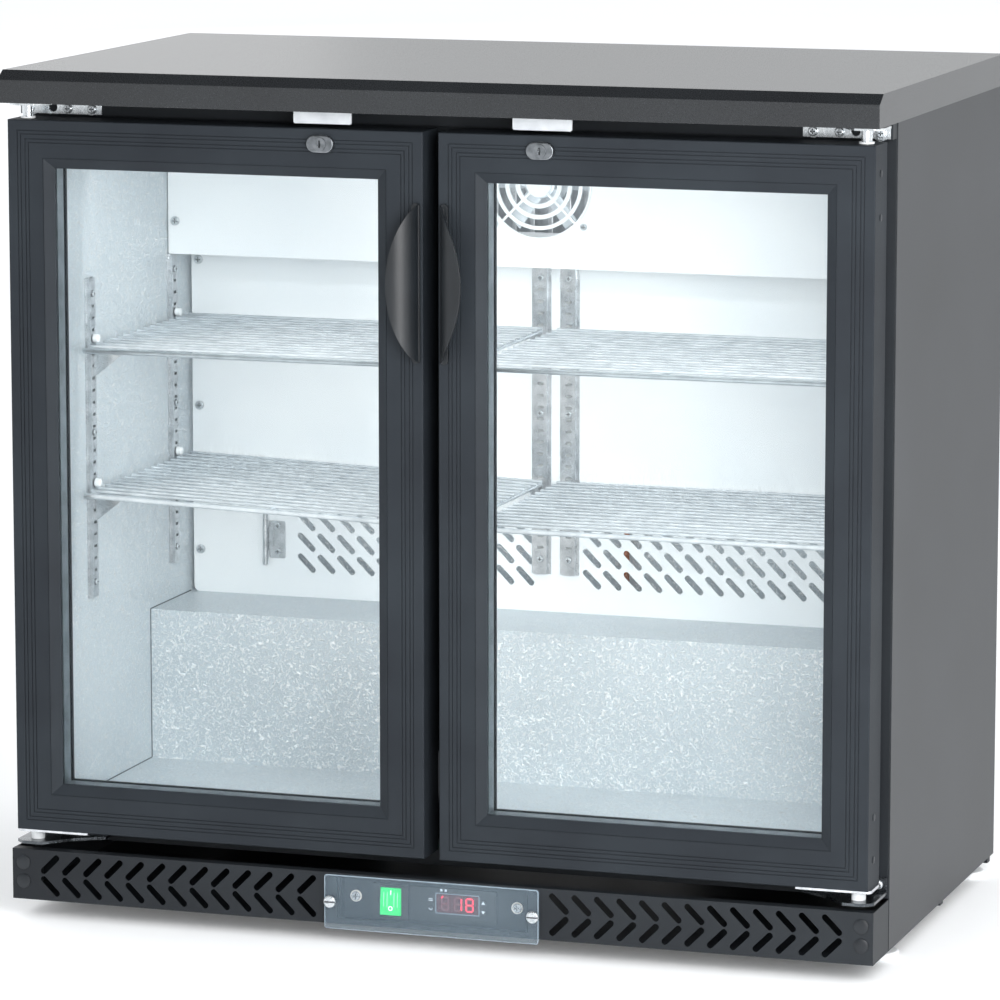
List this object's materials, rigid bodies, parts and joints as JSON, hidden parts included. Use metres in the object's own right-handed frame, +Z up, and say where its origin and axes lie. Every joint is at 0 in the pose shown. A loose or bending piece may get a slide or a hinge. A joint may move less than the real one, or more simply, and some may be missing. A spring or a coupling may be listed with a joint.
{
  "type": "under counter fridge",
  "caption": "Low back-bar display fridge with framed glass doors, wire shelves in a pale embossed interior, a slotted kick plate and a control window.",
  "frame": {"origin": "middle of the cabinet's bounding box on the floor, under the feet", "axes": "+Z up, +Y to the back (the doors face -Y), +X to the right seen from the front"},
  "size_m": [0.9, 0.534, 0.862],
  "materials": {
    "black_top": "satin powder coat",
    "black_panel": "fine textured powder coat",
    "black_rail": "black anodised extrusion",
    "black_grip": "satin moulded plastic",
    "inner_sheet": "stucco embossed sheet",
    "galvanised": "zinc coated sheet",
    "zinc": "bright zinc plate",
    "chrome_wire": "chromed wire",
    "steel_trim": "plain stainless steel",
    "white_sheet": "white coated sheet",
    "glass": "clear float glass",
    "spacer": "mill finish",
    "gasket": "flexible PVC profile",
    "white_plastic": "satin moulded nylon",
    "grey_face": "satin moulded plastic",
    "black_plastic": "satin moulded plastic",
    "button": "satin rubberised plastic",
    "green_lens": "translucent moulded plastic",
    "smoked_cover": "clear smoky acrylic",
    "lamp_tube": "opal diffuser",
    "foam": "closed-cell polyurethane foam",
    "compressor_black": "gloss enamel",
    "fins": "mill finish fins",
    "fan_metal": "grey enamel",
    "copper": "drawn copper tube"
  },
  "bodies": {
    "cabinet": {"base_frame": "black_panel", "clear_cover": "smoked_cover", "compressor": "compressor_black", "condenser_coil": "fins", "condenser_shroud": "fan_metal", "control_bracket": "black_plastic", "controller_body": "grey_face", "drip_tray": "galvanised", "duct_panel": "white_sheet", "electrical_box": "black_plastic", "evaporator_coil": "fins", "evaporator_fan_motor": "black_plastic", "face_frame": "black_panel", "fan_cover": "white_sheet", "fan_guard": "white_sheet", "feet": "white_plastic", "foam_insulation": "foam", "hinge_brackets": "zinc", "hinge_bushes": "white_plastic", "inner_liner": "inner_sheet", "interior_lamp": "lamp_tube", "kick_plate": "black_panel", "lock_strikes": "zinc", "rear_grille": "black_panel", "rear_panel": "galvanised", "refrigerant_pipes": "copper", "screws": "zinc", "shelf_clips": "steel_trim", "shelf_pilasters": "steel_trim", "side_panels": "black_panel", "switch_housing": "black_plastic", "temperature_probe": "steel_trim", "worktop": "black_top"},
    "door_left": {"door_frame_left": "black_rail", "door_glass_left": "glass", "door_spacer_left": "spacer", "door_gasket_left": "gasket", "door_handle_left": "black_grip", "door_hinge_plate_left": "zinc", "lock_plate_left": "black_grip"},
    "lock_left": {"lock_barrel_left": "steel_trim"},
    "door_right": {"door_frame_right": "black_rail", "door_glass_right": "glass", "door_spacer_right": "spacer", "door_gasket_right": "gasket", "door_handle_right": "black_grip", "door_hinge_plate_right": "zinc", "lock_plate_right": "black_grip"},
    "lock_right": {"lock_barrel_right": "steel_trim"},
    "rocker": {"rocker": "green_lens"},
    "button_set": {"button_set": "button"},
    "button_defrost": {"button_defrost": "button"},
    "button_up": {"button_up": "button"},
    "button_down": {"button_down": "button"},
    "shelf_upper_left": {"shelf_upper_left": "chrome_wire"},
    "shelf_upper_right": {"shelf_upper_right": "chrome_wire"},
    "shelf_lower_left": {"shelf_lower_left": "chrome_wire"},
    "shelf_lower_right": {"shelf_lower_right": "chrome_wire"},
    "evaporator_fan": {"evaporator_fan_blade": "black_plastic"},
    "condenser_fan": {"condenser_fan_blade": "fan_metal"}
  },
  "joints": [
    {"name": "door_left_hinge", "type": "hinge", "parent": "cabinet", "child": "door_left", "pos_m": [-0.43, -0.223, 0.45], "axis": [0, 0, -1], "range_deg": [0, 105]},
    {"name": "lock_left_turn", "type": "hinge", "parent": "door_left", "child": "lock_left", "pos_m": [-0.1125, -0.24, 0.7985], "axis": [0, 1, 0], "range_deg": [0, 90]},
    {"name": "door_right_hinge", "type": "hinge", "parent": "cabinet", "child": "door_right", "pos_m": [0.43, -0.223, 0.45], "axis": [0, 0, 1], "range_deg": [0, 105]},
    {"name": "lock_right_turn", "type": "hinge", "parent": "door_right", "child": "lock_right", "pos_m": [0.1125, -0.24, 0.7985], "axis": [0, -1, 0], "range_deg": [0, 90]},
    {"name": "rocker_tilt", "type": "hinge", "parent": "cabinet", "child": "rocker", "pos_m": [-0.0475, -0.224, 0.0435], "axis": [1, 0, 0], "range_deg": [0, 11]},
    {"name": "button_set_press", "type": "slide", "parent": "cabinet", "child": "button_set", "axis": [0, 1, 0], "range_m": [0, 0.0006], "stiffness_N_per_m": 500},
    {"name": "button_defrost_press", "type": "slide", "parent": "cabinet", "child": "button_defrost", "axis": [0, 1, 0], "range_m": [0, 0.0006], "stiffness_N_per_m": 500},
    {"name": "button_up_press", "type": "slide", "parent": "cabinet", "child": "button_up", "axis": [0, 1, 0], "range_m": [0, 0.0006], "stiffness_N_per_m": 500},
    {"name": "button_down_press", "type": "slide", "parent": "cabinet", "child": "button_down", "axis": [0, 1, 0], "range_m": [0, 0.0006], "stiffness_N_per_m": 500},
    {"name": "shelf_upper_left_lift", "type": "slide", "parent": "cabinet", "child": "shelf_upper_left", "axis": [0, 0, 1], "range_m": [0, 0.025]},
    {"name": "shelf_upper_right_lift", "type": "slide", "parent": "cabinet", "child": "shelf_upper_right", "axis": [0, 0, 1], "range_m": [0, 0.025]},
    {"name": "shelf_lower_left_lift", "type": "slide", "parent": "cabinet", "child": "shelf_lower_left", "axis": [0, 0, 1], "range_m": [0, 0.025]},
    {"name": "shelf_lower_right_lift", "type": "slide", "parent": "cabinet", "child": "shelf_lower_right", "axis": [0, 0, 1], "range_m": [0, 0.025]},
    {"name": "evaporator_fan_spin", "type": "hinge", "parent": "cabinet", "child": "evaporator_fan", "pos_m": [0, 0.114, 0.729], "axis": [0, 1, 0], "continuous": true},
    {"name": "condenser_fan_spin", "type": "hinge", "parent": "cabinet", "child": "condenser_fan", "pos_m": [-0.142, 0.172, 0.118], "axis": [1, 0, 0], "continuous": true}
  ]
}
